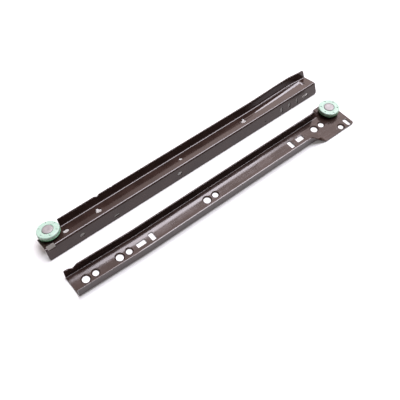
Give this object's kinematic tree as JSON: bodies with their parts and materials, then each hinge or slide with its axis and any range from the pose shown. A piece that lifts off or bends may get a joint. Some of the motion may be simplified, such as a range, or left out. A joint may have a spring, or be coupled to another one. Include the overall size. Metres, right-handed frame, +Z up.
{
  "type": "cabinet drawer slide",
  "caption": "Bottom-mount roller drawer slide: a channel for the cabinet wall and a Z-shaped rail for the drawer, each with a nylon roller on a rivet.",
  "frame": {"origin": "centre of the pair's footprint, on the surface that it lies on", "axes": "+X along the slide towards the front of the furniture (the way the drawer opens), +Y from the cabinet member to the drawer member, +Z up from the surface; the cabinet member's web lies on z = 0"},
  "size_m": [0.3015, 0.0762, 0.0194],
  "materials": {
    "dark_coat": "semi-gloss dark brown baked coat",
    "nylon": "satin pale mint nylon",
    "rivet_steel": "plain satin steel",
    "plated_steel": "zinc-plated steel"
  },
  "bodies": {
    "cabinet_member": {"cabinet_profile": "dark_coat", "front_axle_rivet": "rivet_steel", "front_axle_sleeve": "plated_steel", "front_axle_washer": "plated_steel"},
    "front_roller": {"front_roller_wheel": "nylon"},
    "drawer_member": {"drawer_profile": "dark_coat", "rear_axle_rivet": "rivet_steel", "rear_axle_sleeve": "plated_steel", "rear_axle_washer": "plated_steel"},
    "rear_roller": {"rear_roller_wheel": "nylon"}
  },
  "joints": [
    {"name": "drawer_slide", "type": "slide", "parent": "cabinet_member", "child": "drawer_member", "axis": [1, 0, 0], "range_m": [0, 0.225]},
    {"name": "front_roller_spin", "type": "hinge", "parent": "cabinet_member", "child": "front_roller", "pos_m": [0.1408, -0.0131, 0.0055], "axis": [0, 0, 1], "continuous": true},
    {"name": "rear_roller_spin", "type": "hinge", "parent": "drawer_member", "child": "rear_roller", "pos_m": [-0.1401, 0.02817, 0.01406], "axis": [0, 0.2079, 0.9781], "continuous": true}
  ],
  "couplings": [
    {"joint": "front_roller_spin", "follows": "drawer_slide", "rad_per_m": 103.09},
    {"joint": "rear_roller_spin", "follows": "drawer_slide", "rad_per_m": -103.09}
  ]
}
